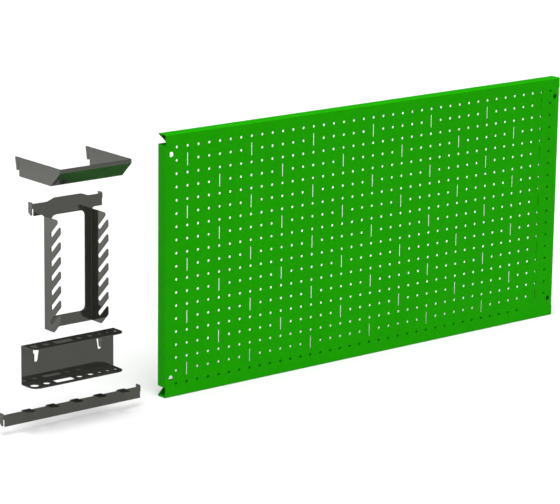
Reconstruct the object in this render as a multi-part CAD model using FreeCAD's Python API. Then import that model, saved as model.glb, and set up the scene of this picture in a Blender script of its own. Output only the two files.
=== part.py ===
import FreeCAD, Part
import math
import os

from FreeCAD import Vector

# Perforated steel tool wall: one folded panel that is screwed to a wall, and four sheet-steel
# holders whose hooks fit the panel's slots. The holders stand in a column to the left of the
# panel, their hook tips just in front of its face, ready to slide across to their slots.
# Millimetres. X runs along the wall to the right, Y into the wall and Z up. The origin is the
# middle of the four fixing holes, in the plane of the panel's front face.

# Panel: a face with four flanges and four return lips, folded from one sheet.
panel_width = 1000.0
panel_height = 500.0
panel_depth = 25.0
panel_sheet = 1.2
panel_fold_radius = 1.0          # inside radius of its folds
lip_width = 26.5
corner_notch = 20.0              # the side flanges start this far from the top and bottom edges
mitre_gap = 2.8                  # between a long lip and a side lip, measured along the panel
fixing_hole_diameter = 10.0
fixing_inset_x = 12.5            # from the side edges
fixing_inset_z = 37.5            # from the top and bottom edges

# Perforation of the face.
hole_pitch = 25.0
hole_diameter = 5.0
slot_length = 25.0
slot_column_step = 6             # columns from slot to slot, with a second set half a step over
slot_row_step = 4                # rows from slot to slot, with the second set half a step down
first_slot_column = 2
first_slot_row = 2
plain_columns = 3                # columns without a hole at the right of the bottom row

# Holders: sheet and hooks.
holder_sheet = 1.5
holder_fold_radius = 0.5         # inside radius of their folds
slot_side_clearance = 0.35       # on each side of a hook in its slot
slot_end_clearance = 0.75        # above and below a hook as it enters its slot
throat_clearance = 1.0           # in the gap of a hook, over the panel sheet it grips
hook_reach = 12.5                # from the holder's rear face to the hook's rear edge
hook_neck = 9.0                  # from a plate's top edge down to the underside of a hook's neck
hook_ear = 1.5                   # an end hook stands this far above its plate
hook_corner_radius = 1.5
nose_cut = 7.0                   # cut-off corner of a hook's nose, along Y
nose_cut_height = 4.5            # the same, along Z
nose_slant = 4.3                 # setback of the nose where the hook's rear edge slants
tip_gap = 1.5                    # from the hook tips to the panel's face

# Shelf bracket: two arms joined by an upright rim, from which the front plate leans back.
shelf_offset = 254.0             # from the panel's left edge to the bracket's middle
shelf_rise = 2.5                 # above the panel's top edge
shelf_height = 34.0
shelf_depth = 126.0              # from the arms' rear edge to the front of the rim
shelf_rim_height = 6.0
shelf_lean = 46.0                # degrees, from the rim down to the front plate
arm_corner_radius = 2.0

# Wrench holder: a band with end hooks, a frame with a window, and two combs folded forward.
wrench_offset = 227.5
wrench_gap = 47.5                # below the shelf bracket
band_height = 22.0
hump_height = 5.5
hump_foot_width = 88.0
hump_crest_width = 58.0
hump_radius = 16.0
frame_width = 104.0
frame_height = 206.5             # below the combs' top edge
comb_drop = 3.0                  # from the band down to the combs
band_fillet = 6.0                # where the band widens into the frame
window_width = 72.0
window_radius = 10.0
window_head = 3.5                # sheet between the band and the window
window_foot = 21.0               # sheet below the window
comb_reach = 50.0                # from the front of the frame
comb_slot_pitch = 26.5
comb_slot_width = 8.0
comb_slot_angle = 45.0           # above the horizontal
comb_slot_root = 23.0            # from the front of the frame to the centre of a slot's round end
comb_slot_drop = 29.5            # from the combs' top edge to the centre of the first round end
comb_slot_foot = 17.0            # at least this much comb below the centre of the last one
comb_head_radius = 4.0
finger_tip_radius = 2.5
comb_foot_cut = 21.5             # size of the cut-off corner at a comb's foot

# Screwdriver holder: a channel with drilled flanges and hooks lanced from its back.
driver_offset = 229.5
driver_gap = 22.0                # below the wrench holder
driver_width = 200.0
driver_height = 73.0
driver_depth = 40.0
driver_corner_radius = 16.0
driver_hole_line = 19.0          # from the front edge to the hole centres
round_hole_places = (14.0, 40.0, 111.0, 135.0, 155.0, 173.0, 190.0)    # from the left end
round_hole_diameters = (16.0, 13.0, 11.0, 11.0, 7.0, 7.0, 7.0)
wide_hole_place = 77.0           # from the left end
wide_hole_length = 40.0
wide_hole_width = 17.0
wide_hole_radius = 2.0
lance_drop = 9.5                 # from the top to the windows that the hooks are bent out of
lance_clearance = 0.5            # above a hook's blank, under its neck and past its rear edge
lance_foot_gap = 1.5             # below a hook's blank
lance_foot_width = 6.5
lance_foot_radius = 2.5

# Hook rail: a strip with end hooks and tongues folded forward.
rail_offset = 218.0
rail_gap = 49.0                  # below the screwdriver holder
rail_height = 22.0
rail_hook_pitches = 2            # spacing of its hooks, in spacings of the other holders' hooks
tongue_count = 5
tongue_pitch = 52.0
tongue_width = 16.0
tongue_reach = 25.5              # from the rail's rear face
tongue_rise = 3.0                # above the rail
tongue_corner_radius = 7.0

# Sizes that follow from the ones above.
slot_width = holder_sheet + 2 * slot_side_clearance
hook_height = slot_length - 2 * slot_end_clearance
hook_spacing = slot_column_step * hole_pitch
throat_width = panel_sheet + throat_clearance
fold_run = holder_fold_radius + holder_sheet / 2     # from a fold's corner to where the sheet is flat
fold_length = math.pi / 2 * fold_run                 # of the sheet's middle line, round a fold
frame_top = -band_height - comb_drop
frame_bottom = frame_top - frame_height
comb_slot_count = math.floor((frame_height - comb_slot_drop - comb_slot_foot) / comb_slot_pitch) + 1
shelf_top = panel_height / 2 + shelf_rise
wrench_top = shelf_top - shelf_height - wrench_gap - hump_height
driver_top = wrench_top + frame_bottom - driver_gap
rail_top = driver_top - driver_height - rail_gap
overrun = 1.0                    # cutting bodies go this far beyond the sheet
tiny = 1e-6

# Noses of the hooks: corners (y, z) at the foot of the rear edge.
CUT_NOSE = ((hook_reach - nose_cut, -hook_height), (hook_reach, nose_cut_height - hook_height))
SLANTED_NOSE = ((hook_reach - nose_slant, -hook_height),)

# Views: the directions of the first and second drawing axis and of the push.
PLAN = (Vector(1, 0, 0), Vector(0, 1, 0), Vector(0, 0, 1))
SIDE = (Vector(0, 1, 0), Vector(0, 0, 1), Vector(1, 0, 0))
FRONT = (Vector(1, 0, 0), Vector(0, 0, 1), Vector(0, 1, 0))


def unit(start, end):
    """Direction from one point to another."""
    return (end - start).normalize()


def rounded_corner(before, corner, after, radius):
    """Start, middle and end of the arc that rounds a corner."""
    back = unit(corner, before)
    ahead = unit(corner, after)
    half_angle = back.getAngle(ahead) / 2
    run = radius / math.tan(half_angle)
    middle = corner + unit(Vector(), back + ahead) * (radius / math.sin(half_angle) - radius)
    return corner + back * run, middle, corner + ahead * run


def pushed(view, corners, low, high):
    """Body with the outline drawn in a view as corners (first, second, radius), from low to high."""
    points = [view[0] * first + view[1] * second for first, second, radius in corners]
    arcs = []
    for index, corner in enumerate(corners):
        following = points[(index + 1) % len(points)]
        arcs.append(rounded_corner(points[index - 1], points[index], following, corner[2]))
    edges = []
    for index, (start, middle, end) in enumerate(arcs):
        if not start.isEqual(end, tiny):
            edges.append(Part.Arc(start, middle, end).toShape())
        next_start = arcs[(index + 1) % len(arcs)][0]
        if not end.isEqual(next_start, tiny):
            edges.append(Part.LineSegment(end, next_start).toShape())
    face = Part.Face(Part.Wire(edges)).translated(view[2] * low)
    return face.extrude(view[2] * (high - low))


def folded(view, path, sheet, fold_radius, low, high):
    """Folded sheet whose middle line is drawn in a view, from low to high."""
    points = [Vector(first, second, 0) for first, second in path]
    last = len(points) - 1
    left_side = []
    right_side = []
    for index, point in enumerate(points):
        arriving = unit(points[max(index, 1) - 1], points[max(index, 1)])
        leaving = unit(points[min(index, last - 1)], points[min(index, last - 1) + 1])
        arriving_left = Vector(-arriving.y, arriving.x, 0)
        leaving_left = Vector(-leaving.y, leaving.x, 0)
        offset = (arriving_left + leaving_left) * (sheet / 2 / (1 + arriving_left.dot(leaving_left)))
        turns_left = arriving.cross(leaving).z > 0
        inner = 0 if index in (0, last) else fold_radius
        outer = 0 if index in (0, last) else fold_radius + sheet
        left_side.append((point.x + offset.x, point.y + offset.y, inner if turns_left else outer))
        right_side.append((point.x - offset.x, point.y - offset.y, outer if turns_left else inner))
    return pushed(view, left_side + right_side[::-1], low, high)


def block(view, first, second, radius, low, high):
    """Block between two pairs of limits in a view, with equal rounded corners."""
    corners = ((first[0], second[0], radius), (first[1], second[0], radius),
               (first[1], second[1], radius), (first[0], second[1], radius))
    return pushed(view, corners, low, high)


def mirrored(shape):
    """The mirror image of a shape, left for right."""
    return shape.mirror(Vector(), Vector(1, 0, 0))


def fused(shapes):
    """Shapes joined into one clean body."""
    return shapes[0].multiFuse(shapes[1:]).removeSplitter()


def folded_channel(view, span, low, high):
    """Panel face across the span with a flange and a lip at each end."""
    edge = (span - panel_sheet) / 2
    front = panel_sheet / 2
    back = panel_depth - front
    path = [(edge + front - lip_width, back), (edge, back), (edge, front)]
    path += [(-across, into) for across, into in reversed(path)]
    if view is SIDE:
        path = [(into, across) for across, into in path]
    return folded(view, path, panel_sheet, panel_fold_radius, low, high)


def lip_saw(side, end, corners):
    """Cutter for a lip corner, from corners (in from the side edge, in from the long edge)."""
    fold = panel_fold_radius + panel_sheet
    outline = [(side * (panel_width / 2 - from_side), end * (panel_height / 2 - from_end), 0)
               for from_side, from_end in corners]
    return pushed(FRONT, outline, panel_depth - fold, panel_depth + overrun)


def panel_blank():
    """The folded panel before it is punched."""
    fold = panel_fold_radius + panel_sheet
    side_end = panel_height / 2 - corner_notch
    far = lip_width + overrun
    long_folds = folded_channel(SIDE, panel_height, -panel_width / 2, panel_width / 2)
    side_folds = folded_channel(PLAN, panel_width, -side_end, side_end)
    for side in (-1, 1):
        edge = side * panel_width / 2
        long_folds = long_folds.cut(block(FRONT, (edge - fold, edge + fold), (-side_end, side_end),
                                          0, -overrun, panel_depth / 2))
        for end in (-1, 1):
            below_mitre = ((-overrun, -overrun), (far, far), (-overrun, far))
            above_mitre = ((-overrun, mitre_gap - overrun), (far, mitre_gap + far),
                           (far, mitre_gap - overrun))
            long_folds = long_folds.cut(lip_saw(side, end, below_mitre))
            side_folds = side_folds.cut(lip_saw(side, end, above_mitre))
    return fused([long_folds, side_folds])


def has_slot(column, row):
    """Whether a place in the grid holds a slot instead of a hole."""
    column_step = (column - first_slot_column) % slot_column_step
    row_step = (row - first_slot_row) % slot_row_step
    return (column_step, row_step) in ((0, 0), (slot_column_step // 2, slot_row_step // 2))


def round_punch(x, z, diameter):
    """Cutter for a round hole in the panel's face."""
    start = Vector(x, -overrun, z)
    return Part.makeCylinder(diameter / 2, panel_sheet + 2 * overrun, start, Vector(0, 1, 0))


def slot_punch(x, z):
    """Cutter for an upright slot with round ends in the panel's face."""
    width = slot_width / 2
    length = slot_length / 2
    return block(FRONT, (x - width, x + width), (z - length, z + length), width,
                 -overrun, panel_sheet + overrun)


def panel():
    """The panel, folded and punched."""
    columns = round(panel_width / hole_pitch) - 1
    rows = round(panel_height / hole_pitch) - 1
    punches = []
    for column in range(1, columns + 1):
        for row in range(1, rows + 1):
            x = (column - (columns + 1) / 2) * hole_pitch
            z = ((rows + 1) / 2 - row) * hole_pitch
            if has_slot(column, row):
                punches.append(slot_punch(x, z))
            elif row < rows or column <= columns - plain_columns:
                punches.append(round_punch(x, z, hole_diameter))
    for side in (-1, 1):
        for end in (-1, 1):
            x = side * (panel_width / 2 - fixing_inset_x)
            z = end * (panel_height / 2 - fixing_inset_z)
            punches.append(round_punch(x, z, fixing_hole_diameter))
    return panel_blank().cut(Part.makeCompound(punches))


def hook_profile(neck, nose):
    """Side outline of a hook from its throat round to its top; its top is at z = 0.

    y is measured from the holder's rear face, and a nose lists the corners at the foot of the rear edge."""
    corners = [(throat_width, -neck, 0), (throat_width, -hook_height, hook_corner_radius)]
    corners += [(y, z, hook_corner_radius) for y, z in nose]
    return corners + [(hook_reach, 0, hook_corner_radius)]


def folded_hook(ear, nose):
    """Hook folded back from a plate on its left: middle plane x = 0, top z = 0, plate rear y = 0."""
    reach = 2 * fold_run
    path = ((-reach, -holder_sheet / 2), (0, -holder_sheet / 2), (0, hook_reach))
    blank = folded(PLAN, path, holder_sheet, holder_fold_radius, -hook_height, 0)
    neck = ear + hook_neck
    outline = [(-holder_sheet - overrun, -ear, 0), (-holder_sheet - overrun, -neck, 0)]
    outline += hook_profile(neck, nose)
    if ear > 0:
        outline += [(holder_fold_radius, 0, 0), (holder_fold_radius, -ear, 0)]
    return blank.common(pushed(SIDE, outline, -reach, reach))


def end_hooks(spacing):
    """Pair of hooks at the ends of a plate whose top edge is at z = 0."""
    hook = folded_hook(hook_ear, CUT_NOSE)
    right = hook.translated(Vector(spacing / 2, 0, hook_ear))
    return [right, mirrored(right)]


def shelf_bracket():
    """Two arms, each ending in a hook, and the front plate that leans back from the rim between them.

    The plate's sides end where the folds to the arms begin, which leaves a gap beside each arm."""
    half = hook_spacing / 2
    flat_half = half - fold_run
    front = holder_sheet / 2 - shelf_depth
    plan = ((-half, hook_reach), (-half, front), (half, front), (half, hook_reach))
    arms = folded(PLAN, plan, holder_sheet, holder_fold_radius, -shelf_height, 0)
    between = block(PLAN, (-flat_half, flat_half), (-shelf_depth - overrun, 0), 0,
                    -shelf_height - overrun, overrun)

    lean = math.radians(shelf_lean)
    bend = holder_sheet / 2 * math.tan(lean / 2) - shelf_rim_height
    side = ((front, 0), (front, bend), (front + shelf_height * math.tan(lean), bend - shelf_height))
    plate = folded(SIDE, side, holder_sheet, holder_fold_radius, -flat_half, flat_half)

    foot = (shelf_height - shelf_rim_height) * math.tan(lean) - shelf_depth
    outline = [(-shelf_depth, 0, 0),
               (-shelf_depth, -shelf_rim_height, holder_fold_radius + holder_sheet),
               (foot, -shelf_height, 0), (0, -shelf_height, arm_corner_radius), (0, -hook_neck, 0)]
    outline += hook_profile(hook_neck, SLANTED_NOSE)
    bent = fused([arms.cut(between), plate])
    return bent.common(pushed(SIDE, outline, -hook_spacing, hook_spacing))


def comb_outline():
    """Side outline of a comb and of the frame's sheet behind it; z = 0 at the band's top."""
    front = -holder_sheet - comb_reach
    root = -holder_sheet - comb_slot_root
    slope = math.radians(comb_slot_angle)
    half_width = comb_slot_width / 2
    half_mouth = half_width / math.cos(slope)
    mouth_rise = (root - front) * math.tan(slope)
    corners = [(0, frame_bottom, 0), (0, frame_top, 0)]
    for index in range(comb_slot_count):
        z = frame_top - comb_slot_drop - index * comb_slot_pitch
        mouth_top = z + mouth_rise + half_mouth
        if mouth_top > frame_top:
            head = front + (mouth_top - frame_top) / math.tan(slope)
            corners.append((head, frame_top, comb_head_radius))
        else:
            corners.append((front, mouth_top, finger_tip_radius))
        for across in (1, -1):
            along_y = half_width * (math.cos(slope) + across * math.sin(slope))
            along_z = half_width * (across * math.cos(slope) - math.sin(slope))
            corners.append((root + along_y, z + along_z, half_width))
        corners.append((front, z + mouth_rise - half_mouth, finger_tip_radius))
    corners.append((front, frame_bottom + comb_foot_cut, finger_tip_radius))
    corners.append((front + comb_foot_cut, frame_bottom, finger_tip_radius))
    return corners


def wrench_holder():
    """Band with end hooks above a frame whose sides are folded forward into slotted combs."""
    half_spacing = hook_spacing / 2
    half_frame = (frame_width - holder_sheet) / 2
    front = -holder_sheet - comb_reach
    path = ((-half_frame, front), (-half_frame, -holder_sheet / 2),
            (half_frame, -holder_sheet / 2), (half_frame, front))
    frame = folded(PLAN, path, holder_sheet, holder_fold_radius, frame_bottom, frame_top)
    frame = frame.common(pushed(SIDE, comb_outline(), -frame_width, frame_width))

    band_end = half_spacing - fold_run
    neck = frame_width / 2
    below = frame_top - band_fillet
    outline = [(-band_end, 0, 0), (-hump_foot_width / 2, 0, hump_radius),
               (-hump_crest_width / 2, hump_height, hump_radius)]
    outline += [(-x, z, radius) for x, z, radius in reversed(outline)]
    outline += [(band_end, -band_height, 0), (neck, -band_height, band_fillet), (neck, below, 0),
                (-neck, below, 0), (-neck, -band_height, band_fillet), (-band_end, -band_height, 0)]
    band = pushed(FRONT, outline, -holder_sheet, 0)
    kept = block(FRONT, (-half_spacing, half_spacing), (frame_top, hump_height), 0, -holder_sheet, 0)
    band = band.common(kept)

    window = block(FRONT, (-window_width / 2, window_width / 2),
                   (frame_bottom + window_foot, -band_height - window_head),
                   window_radius, -holder_sheet - overrun, overrun)
    return fused([band, frame] + end_hooks(hook_spacing)).cut(window)


def screwdriver_holder():
    """Channel with holes through both flanges and two hooks lanced from its back."""
    half_width = driver_width / 2
    half_sheet = holder_sheet / 2
    path = ((-driver_depth, -half_sheet), (-half_sheet, -half_sheet),
            (-half_sheet, half_sheet - driver_height), (-driver_depth, half_sheet - driver_height))
    channel = folded(SIDE, path, holder_sheet, holder_fold_radius, -half_width, half_width)
    outline = ((half_width, 0, 0), (-half_width, 0, 0),
               (-half_width, -driver_depth, driver_corner_radius),
               (half_width, -driver_depth, driver_corner_radius))
    channel = channel.common(pushed(PLAN, outline, -driver_height, 0))

    low = -driver_height - overrun
    line = driver_hole_line - driver_depth
    cutters = []
    for place, diameter in zip(round_hole_places, round_hole_diameters):
        centre = Vector(place - half_width, line, low)
        cutters.append(Part.makeCylinder(diameter / 2, overrun - low, centre))
    middle = wide_hole_place - half_width
    cutters.append(block(PLAN, (middle - wide_hole_length / 2, middle + wide_hole_length / 2),
                         (line - wide_hole_width / 2, line + wide_hole_width / 2),
                         wide_hole_radius, low, overrun))

    top = -lance_drop - lance_clearance
    under_neck = top - hook_neck - lance_clearance
    foot = top - hook_height - lance_foot_gap
    outer = hook_spacing / 2 + fold_run
    flat = outer - fold_length + holder_fold_radius
    throat = flat - throat_width
    outline = ((outer, -lance_drop, 0), (outer, under_neck, 0), (throat, under_neck, 0),
               (throat, foot, lance_foot_radius),
               (throat - lance_foot_width, foot, lance_foot_radius),
               (flat - hook_reach - lance_clearance, -lance_drop, 0))
    window = pushed(FRONT, outline, -holder_sheet - overrun, overrun)
    hook = mirrored(folded_hook(0, SLANTED_NOSE)).translated(Vector(hook_spacing / 2, 0, top))
    cutters += [window, mirrored(window)]
    return fused([channel.cut(Part.makeCompound(cutters)), hook, mirrored(hook)])


def hook_rail():
    """Strip with end hooks and a row of tongues folded forward from its top edge."""
    spacing = rail_hook_pitches * hook_spacing
    end = spacing / 2 - fold_run
    half_sheet = holder_sheet / 2
    strip = block(FRONT, (-end, end), (-rail_height, 0), 0, -holder_sheet, 0)
    path = ((-half_sheet, -tongue_rise), (-half_sheet, tongue_rise - half_sheet),
            (-tongue_reach, tongue_rise - half_sheet))
    outline = ((tongue_width / 2, 0, 0), (-tongue_width / 2, 0, 0),
               (-tongue_width / 2, -tongue_reach, tongue_corner_radius),
               (tongue_width / 2, -tongue_reach, tongue_corner_radius))
    tongue = folded(SIDE, path, holder_sheet, holder_fold_radius, -tongue_width / 2, tongue_width / 2)
    tongue = tongue.common(pushed(PLAN, outline, -tongue_rise, tongue_rise))
    tongues = []
    for index in range(tongue_count):
        place = (index - (tongue_count - 1) / 2) * tongue_pitch
        tongues.append(tongue.translated(Vector(place, 0, 0)))
    return fused([strip] + end_hooks(spacing) + tongues)


def write_piece(name, shape, offset, top):
    """Move a piece into place and write it as one clean solid."""
    shape = shape.removeSplitter()
    if len(shape.Solids) != 1:
        raise ValueError("%s has %d solids" % (name, len(shape.Solids)))
    place = Vector(-panel_width / 2 - offset, -hook_reach - tip_gap, top)
    shape.Solids[0].translated(place).exportStep("parts/%s.step" % name)


def main():
    """Build every piece and write one file for each."""
    os.makedirs("parts", exist_ok=True)
    panel().Solids[0].exportStep("parts/panel.step")
    write_piece("shelf_bracket", shelf_bracket(), shelf_offset, shelf_top)
    write_piece("wrench_holder", wrench_holder(), wrench_offset, wrench_top)
    write_piece("screwdriver_holder", screwdriver_holder(), driver_offset, driver_top)
    write_piece("hook_rail", hook_rail(), rail_offset, rail_top)


main()
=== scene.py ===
import math

import bpy
from mathutils import Matrix, Vector


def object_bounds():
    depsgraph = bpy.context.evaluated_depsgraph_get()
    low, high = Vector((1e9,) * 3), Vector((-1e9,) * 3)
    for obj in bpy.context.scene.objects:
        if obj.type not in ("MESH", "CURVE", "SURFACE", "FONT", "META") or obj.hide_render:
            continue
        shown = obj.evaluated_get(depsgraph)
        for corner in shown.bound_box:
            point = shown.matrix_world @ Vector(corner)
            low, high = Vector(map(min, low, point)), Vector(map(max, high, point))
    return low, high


# The look of a perforated steel tool wall and its four loose holders: powder-coated sheet under
# soft studio light, on a white floor. Metres, in the CAD frame: X to the right along the wall,
# Y into the wall, Z up, with the origin in the middle of the panel's face.

MILLIMETRE = 0.001
WHITE = (1.0, 1.0, 1.0, 1.0)

# Camera: it looks down its line of sight at the aim point.
CAMERA_AZIMUTH = 39.17           # degrees, from the wall's normal towards the left
CAMERA_ELEVATION = 14.03
CAMERA_ROLL = 0.75
CAMERA_DISTANCE = 5.335
CAMERA_LENS = 180.6              # millimetres
CAMERA_SENSOR = 36.0             # millimetres across
CAMERA_AIM = Vector((-0.2292, 0.0, -0.0088))

# Studio.
FLOOR_SIZE = 30.0
FLOOR_REFLECTANCE = 0.55
FLOOR_GLOW = 0.3                 # for the camera and for gloss, on top of the light it receives
WORLD_LIGHT = 0.45               # light from all sides
WORLD_REFLECTED = (0.02, 0.9)    # what gloss shows of the room: dim behind, bright in front
WORLD_BEHIND_TO_FRONT = (0.2, -0.6)            # Y of the directions between which it brightens
WORLD_BACKDROP = 1.0             # seen by the camera only
KEY_STRENGTH = 3.4               # watts per square metre
KEY_SPREAD = 45.0                # degrees across, so that shadows are soft
KEY_FROM = Vector((-0.22, -0.3, 0.93))         # towards the key
FLOOR_LAMP_PLACE = Vector((-2.0, 1.4, 0.9))    # over the floor that left-facing sheets reflect
FLOOR_LAMP_SIZE = 0.8
FLOOR_LAMP_POWER = 3.3           # watts
FLOOR_LAMP_SPREAD = 80.0         # degrees across, so that it lights nothing but the floor

# Colours, linear. A shine tints what the paint reflects.
GREEN = (0.012, 0.345, 0.0006)
GREY = (0.0240, 0.0240, 0.0205)
GREEN_SHINE = (0.8, 1.0, 0.7)
GREY_SHINE = (1.0, 1.0, 0.90)

# Paint: a pattern of slow clouds and fine grain varies its tone and its gloss.
CLOUD_NOISE = {"Scale": 9.0, "Detail": 3.0, "Roughness": 0.55}
GRAIN_NOISE = {"Detail": 2.0, "Roughness": 0.6}
CLOUD_SHARE = 0.55               # of the pattern
GRAIN_SHARE = 0.45
TONE_RANGE = (0.35, 0.65)        # of the pattern, from the darkest tone to the lightest
GLOSS_RANGE = (0.3, 0.7)         # of the pattern, from the smoothest paint to the roughest
GLOSS_SPREAD = 0.05              # of the roughness, either way
GRAIN_STRENGTH = 0.6             # of the bump
EDGE_RADIUS = 0.35 * MILLIMETRE  # by which the sheets' edges are softened
EDGE_SAMPLES = 6


def empty_tree(owner):
    """Node tree of a new material or world, with no nodes in it."""
    owner.use_nodes = True
    owner.node_tree.nodes.clear()
    return owner.node_tree


def node_of(tree, kind, **values):
    """A new shader node with its properties set."""
    node = tree.nodes.new("ShaderNode" + kind)
    for name, value in values.items():
        setattr(node, name, value)
    return node


def set_inputs(node, values):
    """Set a node's unlinked inputs from a dictionary of socket names."""
    for name, value in values.items():
        node.inputs[name].default_value = value


def shaded(colour, factor):
    """A colour with each channel multiplied by a factor, as RGBA."""
    return (colour[0] * factor, colour[1] * factor, colour[2] * factor, 1.0)


def noise(tree, place, values):
    """Output of a noise texture in three dimensions."""
    node = node_of(tree, "TexNoise", noise_dimensions="3D")
    set_inputs(node, values)
    tree.links.new(place, node.inputs["Vector"])
    return node.outputs["Fac"]


def mixed_pattern(tree, cloud, grain):
    """Sum of two noises, each multiplied by its share."""
    share = node_of(tree, "Math", operation="MULTIPLY")
    share.inputs[1].default_value = CLOUD_SHARE
    tree.links.new(cloud, share.inputs[0])
    both = node_of(tree, "Math", operation="MULTIPLY_ADD")
    both.inputs[1].default_value = GRAIN_SHARE
    tree.links.new(grain, both.inputs[0])
    tree.links.new(share.outputs["Value"], both.inputs[2])
    return both.outputs["Value"]


def powder_coat(name, colour, shine, roughness, ior, specular, grain_size, relief, variation):
    """Baked powder paint: an even colour with a fine orange-peel grain and softened sheet edges."""
    material = bpy.data.materials.new(name)
    tree = empty_tree(material)
    link = tree.links.new

    place = node_of(tree, "TexCoord").outputs["Object"]
    grain = noise(tree, place, {"Scale": 1.0 / grain_size, **GRAIN_NOISE})
    pattern = mixed_pattern(tree, noise(tree, place, CLOUD_NOISE), grain)

    tint = node_of(tree, "ValToRGB")
    tones = tint.color_ramp.elements
    for tone, position, factor in zip(tones, TONE_RANGE, (1.0 - variation, 1.0 + variation)):
        tone.position = position
        tone.color = shaded(colour, factor)
    link(pattern, tint.inputs["Fac"])

    gloss = node_of(tree, "MapRange")
    set_inputs(gloss, {"From Min": GLOSS_RANGE[0], "From Max": GLOSS_RANGE[1],
                       "To Min": roughness - GLOSS_SPREAD, "To Max": roughness + GLOSS_SPREAD})
    link(pattern, gloss.inputs["Value"])

    edge = node_of(tree, "Bevel", samples=EDGE_SAMPLES)
    edge.inputs["Radius"].default_value = EDGE_RADIUS
    bump = node_of(tree, "Bump")
    set_inputs(bump, {"Strength": GRAIN_STRENGTH, "Distance": relief})
    link(grain, bump.inputs["Height"])
    link(edge.outputs["Normal"], bump.inputs["Normal"])

    surface = node_of(tree, "BsdfPrincipled")
    set_inputs(surface, {"IOR": ior, "Specular IOR Level": specular,
                         "Specular Tint": shine + (1.0,)})
    link(tint.outputs["Color"], surface.inputs["Base Color"])
    link(gloss.outputs["Result"], surface.inputs["Roughness"])
    link(bump.outputs["Normal"], surface.inputs["Normal"])
    output = node_of(tree, "OutputMaterial")
    link(surface.outputs["BSDF"], output.inputs["Surface"])
    return material


def green_coat():
    """Nearly matt paint of the panel."""
    return powder_coat("green_powder_coat", GREEN, GREEN_SHINE, roughness=0.45, ior=1.5,
                       specular=0.02, grain_size=0.9 * MILLIMETRE, relief=0.03 * MILLIMETRE,
                       variation=0.05)


def grey_coat():
    """Glossy dark paint of the holders."""
    return powder_coat("grey_powder_coat", GREY, GREY_SHINE, roughness=0.07, ior=1.63,
                       specular=0.5, grain_size=0.7 * MILLIMETRE, relief=0.006 * MILLIMETRE,
                       variation=0.08)


def dress(node, material):
    """Give a CAD node one material all over."""
    node.data.materials.clear()
    node.data.materials.append(material)


def floor_material():
    """Floor that the camera sees as white, apart from the object's soft shadow."""
    material = bpy.data.materials.new("studio_floor")
    tree = empty_tree(material)
    link = tree.links.new
    matt = node_of(tree, "BsdfDiffuse")
    matt.inputs["Color"].default_value = (FLOOR_REFLECTANCE,) * 3 + (1.0,)
    glow = node_of(tree, "Emission")
    glow.inputs["Color"].default_value = WHITE
    seen = node_of(tree, "LightPath")
    shown = node_of(tree, "Math", operation="ADD")
    link(seen.outputs["Is Camera Ray"], shown.inputs[0])
    link(seen.outputs["Is Glossy Ray"], shown.inputs[1])
    strength = node_of(tree, "Math", operation="MULTIPLY")
    strength.inputs[1].default_value = FLOOR_GLOW
    link(shown.outputs["Value"], strength.inputs[0])
    link(strength.outputs["Value"], glow.inputs["Strength"])
    both = node_of(tree, "AddShader")
    link(matt.outputs["BSDF"], both.inputs[0])
    link(glow.outputs["Emission"], both.inputs[1])
    output = node_of(tree, "OutputMaterial")
    link(both.outputs["Shader"], output.inputs["Surface"])
    return material


def add_floor(level):
    """Plain floor under the lowest point of the object."""
    half = FLOOR_SIZE / 2
    corners = [(-half, -half, level), (half, -half, level),
               (half, half, level), (-half, half, level)]
    mesh = bpy.data.meshes.new("floor")
    mesh.from_pydata(corners, [], [(0, 1, 2, 3)])
    mesh.materials.append(floor_material())
    floor = bpy.data.objects.new("floor", mesh)
    bpy.context.scene.collection.objects.link(floor)


def add_world():
    """Even light from all sides, a white backdrop for the camera and a bright front for gloss."""
    world = bpy.data.worlds.new("studio")
    tree = empty_tree(world)
    link = tree.links.new
    seen = node_of(tree, "LightPath")
    heading = node_of(tree, "SeparateXYZ")
    link(node_of(tree, "TexCoord").outputs["Generated"], heading.inputs["Vector"])
    room = node_of(tree, "MapRange")
    set_inputs(room, {"From Min": WORLD_BEHIND_TO_FRONT[0], "From Max": WORLD_BEHIND_TO_FRONT[1],
                      "To Min": WORLD_REFLECTED[0], "To Max": WORLD_REFLECTED[1]})
    link(heading.outputs["Y"], room.inputs["Value"])
    unseen = node_of(tree, "MapRange")
    set_inputs(unseen, {"To Min": WORLD_LIGHT})
    link(seen.outputs["Is Glossy Ray"], unseen.inputs["Value"])
    link(room.outputs["Result"], unseen.inputs["To Max"])
    strength = node_of(tree, "MapRange")
    set_inputs(strength, {"To Max": WORLD_BACKDROP})
    link(seen.outputs["Is Camera Ray"], strength.inputs["Value"])
    link(unseen.outputs["Result"], strength.inputs["To Min"])
    background = node_of(tree, "Background")
    background.inputs["Color"].default_value = WHITE
    link(strength.outputs["Result"], background.inputs["Strength"])
    output = node_of(tree, "OutputWorld")
    link(background.outputs["Background"], output.inputs["Surface"])
    bpy.context.scene.world = world


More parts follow.
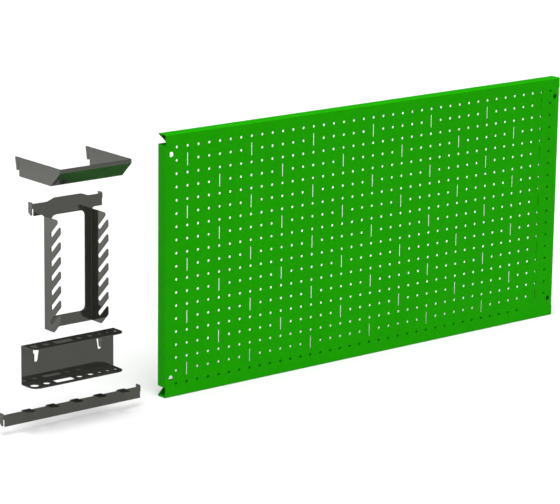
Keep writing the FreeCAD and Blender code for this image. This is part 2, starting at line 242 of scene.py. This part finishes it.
def add_lamp(name, kind, place, direction, **values):
    """Lamp of one kind that shines in a direction."""
    lamp = bpy.data.lights.new(name, kind)
    for key, value in values.items():
        setattr(lamp, key, value)
    holder = bpy.data.objects.new(name, lamp)
    holder.location = place
    holder.rotation_mode = "QUATERNION"
    holder.rotation_quaternion = direction.to_track_quat("-Z", "Y")
    bpy.context.scene.collection.objects.link(holder)


def add_lamps():
    """A broad soft key from overhead, and a lamp over the floor behind and to the left."""
    add_lamp("key", "SUN", KEY_FROM, -KEY_FROM,
             energy=KEY_STRENGTH, angle=math.radians(KEY_SPREAD))
    add_lamp("floor_lamp", "AREA", FLOOR_LAMP_PLACE, Vector((0.0, 0.0, -1.0)),
             energy=FLOOR_LAMP_POWER, size=FLOOR_LAMP_SIZE, spread=math.radians(FLOOR_LAMP_SPREAD))


def add_camera():
    """Long-lens camera to the left of the panel and a little above it."""
    azimuth = math.radians(CAMERA_AZIMUTH)
    elevation = math.radians(CAMERA_ELEVATION)
    sight = Vector((math.sin(azimuth) * math.cos(elevation),
                    math.cos(azimuth) * math.cos(elevation),
                    -math.sin(elevation)))
    data = bpy.data.cameras.new("camera")
    data.sensor_width = CAMERA_SENSOR
    data.lens = CAMERA_LENS
    camera = bpy.data.objects.new("camera", data)
    level = sight.to_track_quat("-Z", "Y").to_matrix()
    camera.matrix_world = (Matrix.Translation(CAMERA_AIM - sight * CAMERA_DISTANCE)
                           @ (level @ Matrix.Rotation(math.radians(CAMERA_ROLL), 3, "Z")).to_4x4())
    bpy.context.scene.collection.objects.link(camera)
    bpy.context.scene.camera = camera


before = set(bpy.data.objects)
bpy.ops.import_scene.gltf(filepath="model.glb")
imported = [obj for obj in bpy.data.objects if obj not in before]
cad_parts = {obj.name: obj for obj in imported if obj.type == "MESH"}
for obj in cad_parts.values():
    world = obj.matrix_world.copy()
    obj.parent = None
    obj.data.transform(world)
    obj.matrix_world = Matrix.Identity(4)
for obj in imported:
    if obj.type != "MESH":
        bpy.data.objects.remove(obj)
cad_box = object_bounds()

green_paint = green_coat()
grey_paint = grey_coat()
for name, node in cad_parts.items():
    dress(node, green_paint if name == "panel" else grey_paint)

scene = bpy.context.scene
scene.view_settings.view_transform = "Standard"
add_floor(cad_box[0].z)
add_world()
add_lamps()
add_camera()
